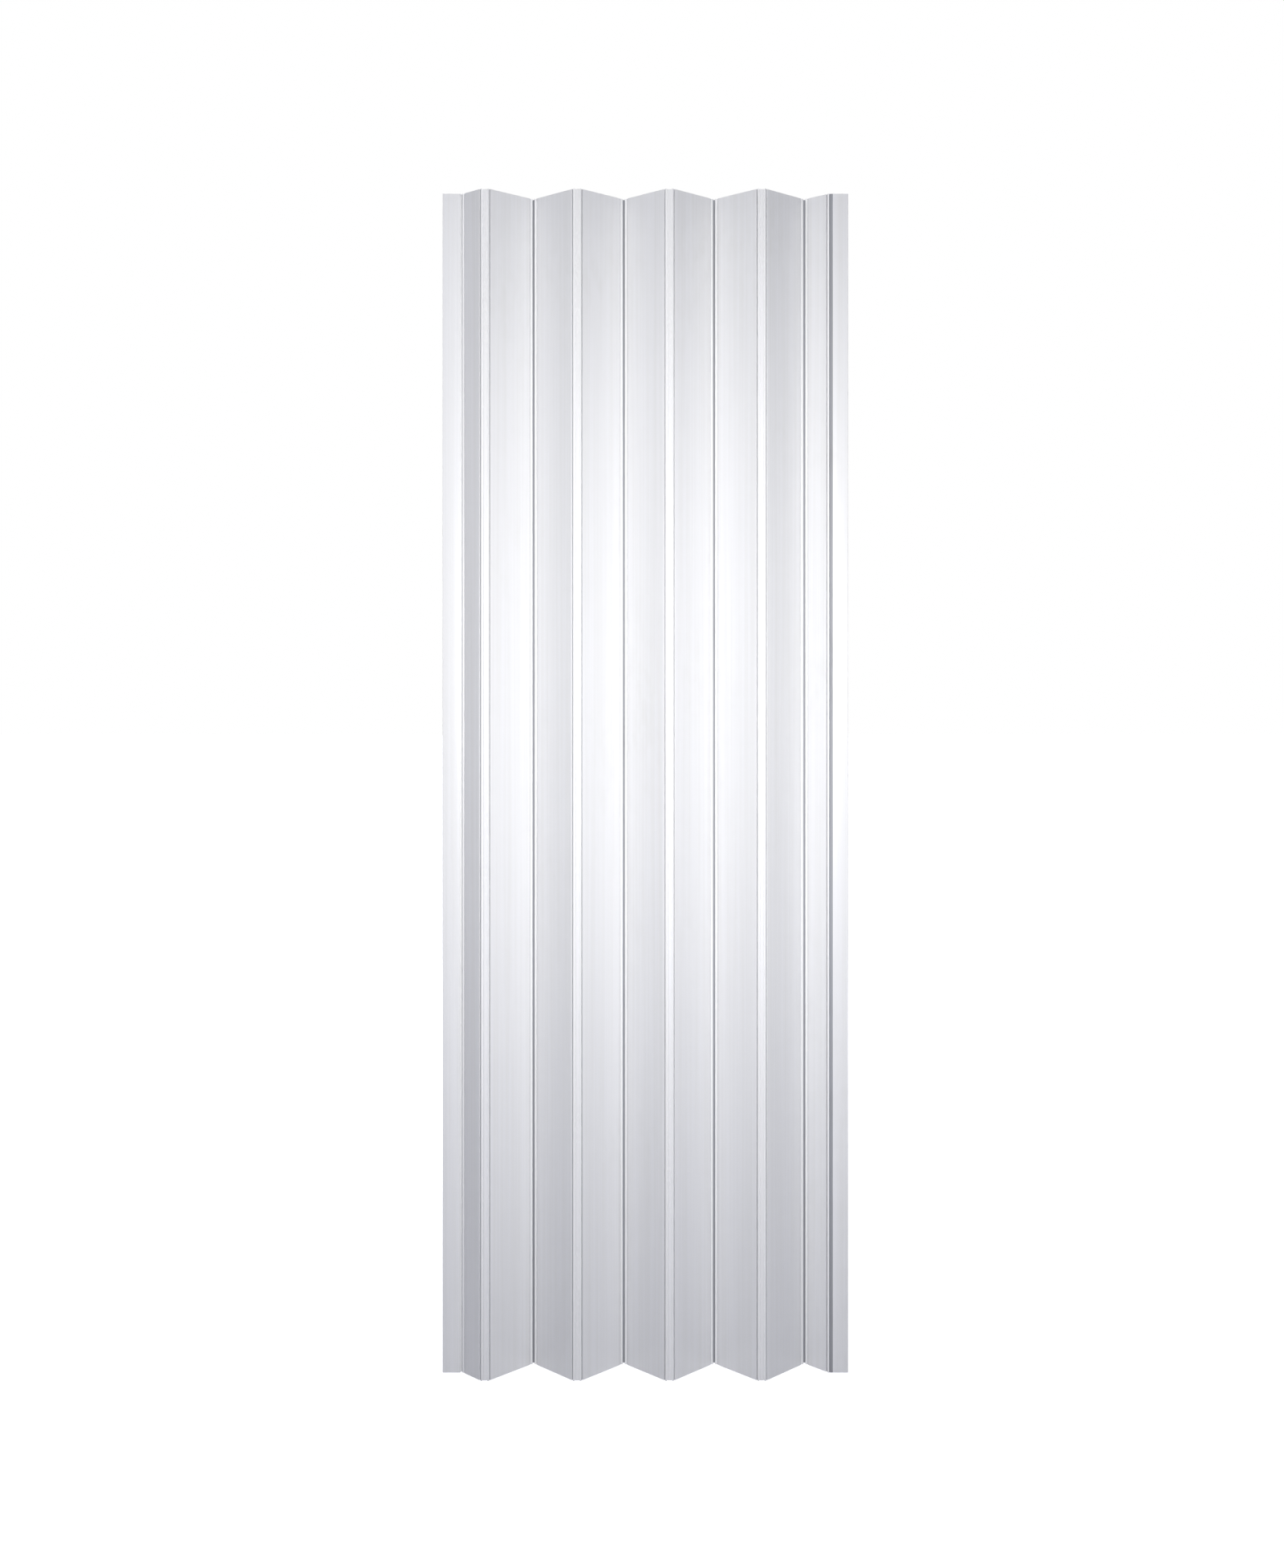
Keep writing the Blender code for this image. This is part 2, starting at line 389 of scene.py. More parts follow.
@dataclass(frozen=True)
class MagnetRubber(Finish):
    """Extruded ferrite-filled rubber, matt and dark, with fine draw lines."""

    worn: Colour = (0.10, 0.095, 0.09)
    line_frequency: Point = (1500.0, 1500.0, 3.0)
    patch_frequency: Point = (80.0, 80.0, 12.0)
    depth: float = 0.00008
    patch_shine: float = 0.3

    def pattern(self, nodes: Nodes, shader: bpy.types.Node) -> None:
        """Wires the draw lines and the rubbed grey patches.

        Args:
            nodes: The material's nodes.
            shader: The Principled shader.
        """
        lines = self.noise(nodes, self.line_frequency)
        patches = self.noise(nodes, self.patch_frequency, detail=4.0)
        self.relief(nodes, shader, lines, self.depth)
        nodes.feed(shader, {"Base Color": patches.rise(0.45, 0.70).between(self.colour, self.worn)})
        nodes.feed(shader, {"Roughness": (patches - 0.5) * self.patch_shine + self.roughness})


def select_only(*objects: bpy.types.Object) -> None:
    """Selects some objects and nothing else.

    Args:
        objects: The objects, of which the first one is made active.
    """
    bpy.ops.object.select_all(action="DESELECT")
    for item in objects:
        item.select_set(True)
    bpy.context.view_layer.objects.active = objects[0]


@contextmanager
def editing(item: bpy.types.Object) -> Iterator[None]:
    """Opens an object in edit mode with nothing selected, and leaves edit mode at the end.

    Args:
        item: The object.

    Yields:
        Nothing, while the object is open.
    """
    select_only(item)
    bpy.ops.object.mode_set(mode="EDIT")
    bpy.ops.mesh.select_all(action="DESELECT")
    try:
        yield
    finally:
        bpy.ops.object.mode_set(mode="OBJECT")


def pick(item: bpy.types.Object, part: Part, wanted: Callable[..., bool]) -> None:
    """Selects, in edit mode, the points, edges or faces that a test accepts.

    Args:
        item: The object, open in edit mode.
        part: The kind of mesh part.
        wanted: The test.
    """
    bpy.ops.mesh.select_mode(type=part.value)
    shape = bmesh.from_edit_mesh(item.data)
    parts = {Part.POINTS: shape.verts, Part.EDGES: shape.edges, Part.FACES: shape.faces}[part]
    for one in parts:
        one.select_set(wanted(one))
    bmesh.update_edit_mesh(item.data)


def is_upright(edge: bmesh.types.BMEdge) -> bool:
    """Whether an edge runs along Z."""
    run = edge.verts[1].co - edge.verts[0].co
    return abs(run.z) > ALIGNED * run.length


def bake_place(item: bpy.types.Object) -> None:
    """Moves an object's place, turn and scale into its mesh."""
    select_only(item)
    bpy.ops.object.transform_apply(location=True, rotation=True, scale=True)


def primitive(name: str, add: Callable[..., object], **sizes: object) -> bpy.types.Object:
    """Adds a primitive, with nothing else selected.

    Args:
        name: The new object's name.
        add: The operator that adds it.
        sizes: What the operator is given.

    Returns:
        The new object.
    """
    bpy.ops.object.select_all(action="DESELECT")
    add(**sizes)
    made = bpy.context.active_object
    made.name = name
    return made


def block(
    name: str,
    low: Point,
    high: Point,
    radius: float = 0.0,
    rounded: Callable[[bmesh.types.BMEdge], bool] = is_upright,
) -> bpy.types.Object:
    """A bar between two corners, some of its edges rounded.

    Args:
        name: The object's name.
        low: The lowest corner.
        high: The highest corner.
        radius: The radius of the rounded edges, or 0 for sharp ones.
        rounded: Which edges are rounded.

    Returns:
        The bar, with its place in its mesh.
    """
    centre = [(a + b) / 2 for a, b in zip(low, high, strict=True)]
    size = [b - a for a, b in zip(low, high, strict=True)]
    made = primitive(name, bpy.ops.mesh.primitive_cube_add, size=1.0, location=centre, scale=size)
    bake_place(made)
    if radius:
        with editing(made):
            pick(made, Part.EDGES, rounded)
            bpy.ops.mesh.bevel(offset=radius, segments=BEVEL_STEPS, affect="EDGES")
    return made


def rod(name: str, centre: Point, radius: float, length: float) -> bpy.types.Object:
    """An upright round bar.

    Args:
        name: The object's name.
        centre: Its middle.
        radius: Its radius.
        length: Its length.

    Returns:
        The bar, with its place in its mesh.
    """
    add = bpy.ops.mesh.primitive_cylinder_add
    made = primitive(name, add, vertices=CIRCLE_SIDES, radius=radius, depth=length, location=centre)
    bake_place(made)
    return made


def boolean(item: bpy.types.Object, tools: list[bpy.types.Object], cut: Cut) -> None:
    """Joins shapes to a piece or cuts them from it, then removes them.

    Args:
        item: The piece that stays.
        tools: The shapes that are used up.
        cut: Whether they are joined or cut away.
    """
    for tool in tools:
        step = item.modifiers.new(tool.name, "BOOLEAN")
        step.operation = cut.value
        step.solver = "EXACT"
        step.object = tool
        select_only(item)
        bpy.ops.object.modifier_apply(modifier=step.name)
        discard(tool)


def twin(item: bpy.types.Object, name: str) -> bpy.types.Object:
    """Copies a piece.

    Args:
        item: The piece.
        name: The name of the copy and of its mesh.

    Returns:
        The copy, with a mesh of its own.
    """
    made = item.copy()
    made.data = item.data.copy()
    made.name = name
    made.data.name = name
    bpy.context.scene.collection.objects.link(made)
    return made


def discard(item: bpy.types.Object) -> None:
    """Removes an object that only served to make others, with its mesh.

    Args:
        item: The object.
    """
    spent = item.data
    bpy.data.objects.remove(item, do_unlink=True)
    bpy.data.meshes.remove(spent)


def mirror_across(item: bpy.types.Object, axis: int) -> None:
    """Turns a piece into its mirror image across the plane square to an axis.

    Args:
        item: The piece.
        axis: 0 for X, 1 for Y and 2 for Z.
    """
    item.scale[axis] = -1.0
    bake_place(item)
    with editing(item):
        bpy.ops.mesh.select_all(action="SELECT")
        bpy.ops.mesh.normals_make_consistent(inside=False)


def finish_shape(item: bpy.types.Object, angle: float = 30.0) -> None:
    """Merges doubled points and shades a piece smooth.

    Args:
        item: The piece.
        angle: Edges that turn by more than this many degrees stay crisp.
    """
    with editing(item):
        bpy.ops.mesh.select_all(action="SELECT")
        bpy.ops.mesh.remove_doubles(threshold=DOUBLE_GAP)
    select_only(item)
    bpy.ops.object.shade_smooth_by_angle(angle=math.radians(angle))


def merge_flat(item: bpy.types.Object, angle: float = 0.1) -> None:
    """Makes one face of those in the same plane, and drops the points along its straight edges.

    Args:
        item: The piece.
        angle: How many degrees two faces in one plane may be turned from each other.
    """
    with editing(item):
        bpy.ops.mesh.select_all(action="SELECT")
        bpy.ops.mesh.dissolve_limited(angle_limit=math.radians(angle))


def dress(item: bpy.types.Object, finish: bpy.types.Material, slot: Slot, body: str, node: str) -> None:
    """Gives a finished piece its material and its body, and hides the CAD node that it stands for.

    Args:
        item: The piece.
        finish: Its material.
        slot: The record's slot for that finish; not used.
        body: The body that it moves with.
        node: The CAD node that it replaces.
    """
    item.data.materials.clear()
    item.data.materials.append(finish)
    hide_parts(node)
    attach(item, body)
    LOG.info("%s rides on %s, %d faces", item.name, body, len(item.data.polygons))


def paint(
    item: bpy.types.Object, finish: bpy.types.Material, wanted: Callable[[bpy.types.MeshPolygon], bool]
) -> None:
    """Gives some faces of a dressed piece a finish of their own.

    Args:
        item: The piece.
        finish: The material of those faces.
        wanted: Which faces get it.
    """
    item.data.materials.append(finish)
    added = len(item.data.materials) - 1
    for face in item.data.polygons:
        if wanted(face):
            face.material_index = added


def joint_pivots() -> dict[str, tuple[Vector, Vector]]:
    """The left and right pivot of each slat and link, read from the chain of joints.

    Returns:
        The two pivots of each moving body that has a joint on both sides.
    """
    place = {joint["child"]: Vector(joint["pos_m"]) for joint in frame["joints"]}
    onward = {joint["parent"]: place[joint["child"]] for joint in frame["joints"]}
    return {body: (place[body], onward[body]) for body in place if body in onward}


def pivot_of(body: str) -> Point:
    """The place of the joint that a body hangs on."""
    return next(tuple(joint["pos_m"]) for joint in frame["joints"] if joint["child"] == body)


@dataclass(frozen=True)
class HingeSizes:
    """The bulb, socket and web of every joint of the door. The web bows to the outer side of the fold."""

    bulb_radius: float = 0.00185
    bore_radius: float = 0.00210
    bead_radius: float = 0.00297
    web_thickness: float = 0.0008
    gap: float = 0.0028
    bow_angle: float = 38.0
    bow_level: float = 0.0020
    bend_radius: float = 0.0010
    least_fold: float = 10.0
    most_fold: float = 85.0
    slot_margin: float = 18.0
    arc_step: float = 5.0

    def socket(self, pivot: float, bottom: float, top: float) -> bpy.types.Object:
        """A C-shaped socket, spun about its pivot, whose slot opens to the right and back.

        Args:
            pivot: The X of the pivot, which lies at Y = 0.
            bottom: The socket's lowest Z.
            top: Its highest Z.

        Returns:
            The socket, with its place in its mesh.
        """
        wall = self.bead_radius - self.bore_radius
        slot_start = self.least_fold - self.bow_angle - self.slot_margin
        sweep = 360.0 - (self.most_fold - self.least_fold + 2 * self.slot_margin)
        made = primitive(
            "socket",
            bpy.ops.mesh.primitive_plane_add,
            size=1.0,
            location=((self.bore_radius + self.bead_radius) / 2, 0.0, (top + bottom) / 2),
            rotation=(math.radians(90.0), 0.0, 0.0),
        )
        made.scale = (wall, top - bottom, 1.0)
        bake_place(made)
        with editing(made):
            bpy.ops.mesh.select_all(action="SELECT")
            bpy.ops.mesh.spin(
                steps=round(sweep / self.arc_step),
                angle=math.radians(sweep),
                center=(0.0, 0.0, 0.0),
                axis=(0.0, 0.0, 1.0),
            )
            bpy.ops.mesh.select_all(action="SELECT")
            bpy.ops.mesh.remove_doubles(threshold=DOUBLE_GAP)
            bpy.ops.mesh.normals_make_consistent(inside=False)
        made.rotation_euler.z = math.radians(slot_start)
        made.location.x = pivot
        bake_place(made)
        return made

    def bulb(self, pivot: float, bottom: float, top: float) -> bpy.types.Object:
        """The round bulb at a link's or a strip's edge."""
        return rod("bulb", (pivot, 0.0, (bottom + top) / 2), self.bulb_radius, top - bottom)

    def web(self, end: float, bulbs: int, fold: Fold, bottom: float, top: float) -> bpy.types.Object:
        """A web that leaves the bulb at X = 0 aslant and runs flat along the outer side of the fold.

        Args:
            end: The X of the second bulb, or of the web's far end where it has one bulb.
            bulbs: How many bulbs it joins, 1 or 2.
            fold: The kind of fold, which says where its outer side is.
            bottom: The web's lowest Z.
            top: Its highest Z.

        Returns:
            The web, which reaches into its bulbs.
        """
        half = self.web_thickness / 2
        bend = math.radians(self.bow_angle)
        slant = (self.bow_level - self.bend_radius * (1.0 - math.cos(bend))) / math.sin(bend)
        near = slant * math.cos(bend) + self.bend_radius * math.sin(bend)
        far = end - near if bulbs == 2 else end
        level = fold.value * self.bow_level
        made = block("web", (near, level - half, bottom), (far, level + half, top))
        run = slant - self.bulb_radius / 2
        for x, side in ((near, -1.0), (far, 1.0))[:bulbs]:
            with editing(made):
                pick(made, Part.FACES, lambda face, side=side: face.normal.x * side > ALIGNED)
                bpy.ops.mesh.spin(
                    steps=round(self.bow_angle / self.arc_step),
                    angle=side * fold.value * bend,
                    center=(x, level - fold.value * self.bend_radius, 0.0),
                    axis=(0.0, 0.0, 1.0),
                )
                way = (side * run * math.cos(bend), -fold.value * run * math.sin(bend), 0.0)
                bpy.ops.mesh.extrude_region_move(TRANSFORM_OT_translate={"value": way})
        return made


def cell_row(
    first: float, last: float, depth: float, count: int, rib: float, radius: float = 0.0004
) -> bpy.types.Object:
    """A row of cutters for hollow cells, which run out past both ends of the curtain.

    Args:
        first: The X where the first cell starts.
        last: The X where the last cell ends.
        depth: Half the cells' thickness.
        count: How many cells there are.
        rib: The thickness of the ribs between them.
        radius: The radius of the cells' corners.

    Returns:
        The cutters, as one object.
    """
    low, high = CAD_BOUNDS
    pitch = (last - first + rib) / count
    start = (first, -depth, low.z - OVERCUT)
    end = (first + pitch - rib, depth, high.z + OVERCUT)
    cutter = block("cells", start, end, radius)
    row = cutter.modifiers.new("row", "ARRAY")
    row.use_relative_offset = False
    row.use_constant_offset = True
    row.constant_offset_displace = (pitch, 0.0, 0.0)
    row.count = count
    select_only(cutter)
    bpy.ops.object.modifier_apply(modifier=row.name)
    return cutter


@dataclass(frozen=True)
class SlatPattern:
    """A hollow slat between two sockets, modelled along X with its left pivot at the origin."""

    hinge: HingeSizes
    span: float
    cell_count: int
    bottom: float
    top: float
    thickness: float = 0.0050
    wall: float = 0.0009
    rib: float = 0.0008
    edge_radius: float = 0.0003
    neck_thickness: float = 0.0016
    neck_length: float = 0.0017
    sink_depth: float = 0.00006
    sink_reach: float = 0.0028

    @property
    def margin(self) -> float:
        """How far the flat body stays from each pivot."""
        return self.hinge.bead_radius + self.neck_length

    def build(self, name: str) -> bpy.types.Object:
        """Models the slat.

        Args:
            name: The object's name.

        Returns:
            The finished slat, whose sockets open back on the right and front on the left.
        """
        half = self.thickness / 2
        first = self.margin + self.wall
        last = self.span - first
        start = (self.margin, -half, self.bottom)
        end = (self.span - self.margin, half, self.top)
        slat = block(name, start, end, self.edge_radius)
        self._draw_in_at_ribs(slat, first, (last - first + self.rib) / self.cell_count)
        cutter = cell_row(first, last, half - self.wall, self.cell_count, self.rib)
        boolean(slat, [cutter], Cut.REMOVE)
        for turned in (False, True):
            boolean(slat, self._edge(turned), Cut.JOIN)
        finish_shape(slat)
        return slat

    def _draw_in_at_ribs(self, slat: bpy.types.Object, first: float, pitch: float) -> None:
        """Draws the faces in a little at each rib, as an extrusion shrinks there when it cools.

        Args:
            slat: The body, still a plain bar.
            first: The X where the first cell starts.
            pitch: The distance from one cell to the next.
        """
        ribs = [first + i * pitch - self.rib / 2 for i in range(1, self.cell_count)]
        half = self.thickness / 2

        def on_rib(point: bmesh.types.BMVert, face: float) -> bool:
            """Whether a point lies on a face, over the middle of a rib."""
            over = any(abs(point.co.x - rib) < SLACK for rib in ribs)
            return over and abs(point.co.y - face) < DOUBLE_GAP

        with editing(slat):
            for rib in ribs:
                for shift in (-self.sink_reach, 0.0, self.sink_reach):
                    bpy.ops.mesh.select_all(action="SELECT")
                    bpy.ops.mesh.bisect(plane_co=(rib + shift, 0.0, 0.0), plane_no=(1.0, 0.0, 0.0))
            for face in (-half, half):
                pick(slat, Part.POINTS, lambda point, face=face: on_rib(point, face))
                bpy.ops.transform.translate(value=(0.0, -math.copysign(self.sink_depth, face), 0.0))

    def _edge(self, turned: bool) -> list[bpy.types.Object]:
        """One edge of the slat: its neck and its socket.

        Args:
            turned: Whether to make the left edge, which is the right one turned half way round.

        Returns:
            The neck and the socket, in place.
        """
        wall_middle = (self.hinge.bore_radius + self.hinge.bead_radius) / 2
        half = self.neck_thickness / 2
        low = (self.span - self.margin - self.wall / 2, -half, self.bottom)
        high = (self.span - wall_middle, half, self.top)
        shapes = [block("neck", low, high), self.hinge.socket(self.span, self.bottom, self.top)]
        if turned:
            turn = Matrix.Translation((self.span, 0.0, 0.0)) @ Matrix.Rotation(math.pi, 4, "Z")
            for shape in shapes:
                shape.matrix_world = turn
                bake_place(shape)
        return shapes


@dataclass(frozen=True)
class SlatFinish:
    """The skin of a slat: satin faces, beads in a lighter vinyl that is a painted highlight, and a grey
    vinyl in the seams between them that is painted shade.
    """

    face: bpy.types.Material
    bead_highlight: bpy.types.Material
    seam_shade: bpy.types.Material
    tolerance: float = 0.0001

    def apply(
        self, item: bpy.types.Object, pivots: tuple[Vector, Vector], hinge: HingeSizes, margin: float
    ) -> None:
        """Paints the beads of a dressed slat in a lighter vinyl, a painted highlight, and its seams in a
        grey one, a painted shade.

        Args:
            item: The slat.
            pivots: Its left and right pivot.
            hinge: The sizes of its sockets.
            margin: How far its flat body stays from each pivot.
        """

        def distance(face: bpy.types.MeshPolygon) -> float:
            """How far a face's centre lies from the nearest pivot, seen from above."""
            return min((face.center - pivot).to_2d().length for pivot in pivots)

        rim = (hinge.bore_radius + hinge.bead_radius) / 2 + self.tolerance
        outside = hinge.bead_radius + self.tolerance
        # The beads get a lighter, glossier vinyl: its lighter colour is a painted highlight.
        paint(item, self.bead_highlight, lambda face: rim < distance(face) < outside)
        # The seams between the beads and the body get a grey vinyl: painted shade in the recess.
        paint(item, self.seam_shade, lambda face: outside < distance(face) < margin - self.tolerance)


@dataclass(frozen=True)
class LipFinish:
    """The two sides of a soft web: the outer side of the fold, and the hollow on its inner side, where a
    grey vinyl is painted shade.
    """

    outer: bpy.types.Material
    groove_shade: bpy.types.Material
    least_slope: float = 0.2

    def apply(self, item: bpy.types.Object, fold: Fold, covers: Callable[[float], bool]) -> None:
        """Paints the soft part of a dressed piece, grey where it looks into the hollow of the fold, as
        painted shade.

        Args:
            item: The piece.
            fold: The kind of fold that it lies in.
            covers: Whether an X belongs to the soft part.
        """

        def gets_painted_shade(face: bpy.types.MeshPolygon) -> bool:
            """Whether a face of the soft part looks into the hollow on the fold's inner side, where it gets
            painted shade.
            """
            return covers(face.center.x) and face.normal.y * fold.value < -self.least_slope

        paint(item, self.outer, lambda face: covers(face.center.x))
        # Faces that look into the hollow get the grey vinyl: painted shade.
        paint(item, self.groove_shade, gets_painted_shade)


@dataclass(frozen=True)
class Curtain:
    """The folding part of the door: full slats, half slats and the links between them."""

    hinge: HingeSizes
    slat_finish: SlatFinish
    lip_finish: LipFinish
    full_cells: int = 7
    half_cells: int = 3

    def build(self) -> None:
        """Models every slat and link where the frame's joints put them."""
        pivots = joint_pivots()
        low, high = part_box("slat_1")
        full = sorted(name for name in frame["nodes"] if name.startswith("slat_"))
        halves = ["half_slat_wall", "half_slat_lead"]
        for names, cells in ((full, self.full_cells), (halves, self.half_cells)):
            left, right = pivots[names[0]]
            sizes = SlatPattern(self.hinge, (right - left).length, cells, low.z, high.z)
            pattern = sizes.build("slat_pattern")
            for name in names:
                slat = self._place_slat(pattern, name, *pivots[name])
                self.slat_finish.apply(slat, pivots[name], self.hinge, sizes.margin)
            discard(pattern)
        links = sorted(name for name in frame["nodes"] if name.startswith("link_"))
        pattern = self._link_pattern(*pivots[links[0]], *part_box(links[0]))
        for name in links:
            link = twin(pattern, f"hinge_{name}")
            fold = Fold.RIDGE if pivots[name][0].y < 0.0 else Fold.VALLEY
            if fold is Fold.VALLEY:
                mirror_across(link, 1)
            self._turn_along(link, *pivots[name])
            dress(link, self.lip_finish.outer, Slot.LINK, name, name)
            # Each link's inner side is painted grey: painted shade.
            self.lip_finish.apply(link, fold, lambda x: True)
        discard(pattern)

    def _place_slat(
        self, pattern: bpy.types.Object, name: str, left: Vector, right: Vector
    ) -> bpy.types.Object:
        """Puts a copy of the slat between its two pivots, mirrored where its left edge is the nearer one.

        Args:
            pattern: The slat to copy.
            name: The CAD node and body that it stands for.
            left: The left pivot.
            right: The right pivot.

        Returns:
            The slat, dressed.
        """
        slat = twin(pattern, f"vinyl_{name}")
        if right.y > left.y:
            mirror_across(slat, 1)
        self._turn_along(slat, left, right)
        dress(slat, self.slat_finish.face, Slot.VINYL, name, name)
        return slat

    @staticmethod
    def _turn_along(item: bpy.types.Object, left: Vector, right: Vector) -> None:
        """Lays a piece that was modelled from the origin along X between two pivots.

        Args:
            item: The piece.
            left: The pivot where its origin goes.
            right: The pivot that it runs to.
        """
        run = right - left
        item.rotation_euler.z = math.atan2(run.y, run.x)
        item.location = (left.x, left.y, 0.0)
        bake_place(item)

    def _link_pattern(self, left: Vector, right: Vector, low: Vector, high: Vector) -> bpy.types.Object:
        """The link of a ridge, a dog-bone from the origin along X.

        Args:
            left: One link's left pivot.
            right: Its right pivot.
            low: The lowest corner of its CAD node.
            high: The highest corner.

        Returns:
            The link.
        """
        span = (right - left).length
        link = self.hinge.web(span, 2, Fold.RIDGE, low.z, high.z)
        boolean(link, [self.hinge.bulb(pivot, low.z, high.z) for pivot in (0.0, span)], Cut.JOIN)
        finish_shape(link)
        return link


@dataclass(frozen=True)
class EndStrip:
    """A hollow flat strip with a leg that goes back, and a soft lip: a web with a bulb for the curtain."""

    hinge: HingeSizes
    finish: bpy.types.Material
    lip_finish: LipFinish
    leg_thickness: float
    thickness: float = 0.0050
    wall: float = 0.0010
    rib: float = 0.0008
    cell_count: int = 2
    edge_radius: float = 0.0008

    @property
    def lip_reach(self) -> float:
        """How far the flat strip stays from its pivot."""
        return self.hinge.bead_radius + self.hinge.gap

    def blank(self, name: str, fold: Fold, far: float, low: Vector, high: Vector) -> bpy.types.Object:
        """Models the strip from a pivot at the origin towards +X, without its holes or channel.

        Args:
            name: The object's name.
            fold: The kind of fold that its lip makes with the curtain.
            far: The X of its far face.
            low: The lowest corner of its CAD node.
            high: The highest corner.

        Returns:
            The strip.
        """
        half = self.thickness / 2
        near = self.lip_reach
        leg = far - self.leg_thickness
        strip = block(name, (near, -half, low.z), (far, half, high.z), self.edge_radius)
        self._raise_leg(strip, leg, high.y)
        cutter = cell_row(near + self.wall, leg, half - self.wall, self.cell_count, self.rib)
        boolean(strip, [cutter], Cut.REMOVE)
        lip = self.hinge.web(near + self.wall / 2, 1, fold, low.z, high.z)
        boolean(strip, [lip, self.hinge.bulb(0.0, low.z, high.z)], Cut.JOIN)
        merge_flat(strip)
        return strip

    def _raise_leg(self, strip: bpy.types.Object, leg: float, back: float) -> None:
        """Joins the leg to the back of the strip's far edge.

        Args:
            strip: The flat strip, still solid.
            leg: The X of the leg's inner face.
            back: How far back the leg reaches.
        """
        low, high = (Vector(corner) for corner in (strip.bound_box[0], strip.bound_box[6]))
        start = (leg, (low.y + high.y) / 2, low.z)
        end = (leg + self.leg_thickness, back, high.z)

        def at_back(edge: bmesh.types.BMEdge) -> bool:
            """Whether an edge runs up the leg's back."""
            return is_upright(edge) and edge.verts[0].co.y > back - SLACK

        boolean(strip, [block("leg", start, end, self.edge_radius, at_back)], Cut.JOIN)


@dataclass(frozen=True)
class WallStrip(EndStrip):
    """The strip that is screwed to the wall through its leg."""

    screw_holes: int = 4
    hole_radius: float = 0.0022
    head_radius: float = 0.0040
    end_distance: float = 0.120

    def build(self) -> None:
        """Models the wall strip at the left end of the curtain."""
        low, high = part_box("jamb_strip")
        pivot_x = pivot_of("half_slat_wall")[0]
        strip = self.blank("vinyl_jamb_strip", Fold.VALLEY, pivot_x - low.x, low, high)
        mirror_across(strip, 0)
        strip.location.x = pivot_x
        bake_place(strip)
        boolean(strip, list(self._screw_cutters(low, high)), Cut.REMOVE)
        finish_shape(strip)
        dress(strip, self.finish, Slot.VINYL, "wall_strip", "jamb_strip")
        self.lip_finish.apply(strip, Fold.VALLEY, lambda x: x > pivot_x - self.lip_reach + SLACK)

    def _screw_cutters(self, low: Vector, high: Vector) -> Iterator[bpy.types.Object]:
        """The countersunk holes, each a shank and a cone that lie along X.

        Args:
            low: The lowest corner of the CAD node.
            high: The highest corner.

        Yields:
            One cutter after another.
        """
        sink = self.head_radius - self.hole_radius
        middle = (low.y + high.y) / 2
        through = 4 * self.leg_thickness
        spacing = (high.z - low.z - 2 * self.end_distance) / (self.screw_holes - 1)
        for i in range(self.screw_holes):
            height = low.z + self.end_distance + i * spacing
            shank = rod("shank", (0.0, 0.0, 0.0), self.hole_radius, through)
            cone = primitive(
                "countersink",
                bpy.ops.mesh.primitive_cone_add,
                vertices=CIRCLE_SIDES,
                radius1=self.hole_radius - sink / 2,
                radius2=self.head_radius + sink / 2,
                depth=2 * sink,
                location=(0.0, 0.0, self.leg_thickness - sink / 2),
            )
            for cutter in (shank, cone):
                bake_place(cutter)
                cutter.rotation_euler.y = math.radians(90.0)
                cutter.location = (low.x, middle, height)
                bake_place(cutter)
                yield cutter


@dataclass(frozen=True)
class LeadStile(EndStrip):
    """The closing strip, with a channel for the magnet strip down its outer face."""

    magnet_clearance: float = 0.0003

    def build(self) -> None:
        """Models the lead stile at the right end of the curtain."""
        low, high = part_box("lead_stile")
        magnet_low, magnet_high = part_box("lead_magnet")
        pivot_x, pivot_y, _ = pivot_of("lead_stile")
        stile = self.blank("vinyl_lead_stile", Fold.RIDGE, high.x - pivot_x, low, high)
        stile.location = (pivot_x, pivot_y, 0.0)
        bake_place(stile)
        gap = self.magnet_clearance
        start = (magnet_low.x - gap, magnet_low.y - gap, low.z - OVERCUT)
        end = (high.x + OVERCUT, magnet_high.y + gap, high.z + OVERCUT)
        boolean(stile, [block("channel", start, end)], Cut.REMOVE)
        merge_flat(stile)
        finish_shape(stile)
        dress(stile, self.finish, Slot.VINYL, "lead_stile", "lead_stile")
        self.lip_finish.apply(stile, Fold.RIDGE, lambda x: x < pivot_x + self.lip_reach - SLACK)


@dataclass(frozen=True)
class MagnetStrip:
    """The rubber magnet strip in the lead stile's channel."""

    finish: bpy.types.Material
    edge_radius: float = 0.0003

    def build(self) -> None:
        """Models the magnet strip."""
        low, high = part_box("lead_magnet")
        strip = block("magnet_strip", tuple(low), tuple(high), self.edge_radius, lambda edge: True)
        finish_shape(strip)
        dress(strip, self.finish, Slot.MAGNET, "lead_stile", "lead_magnet")


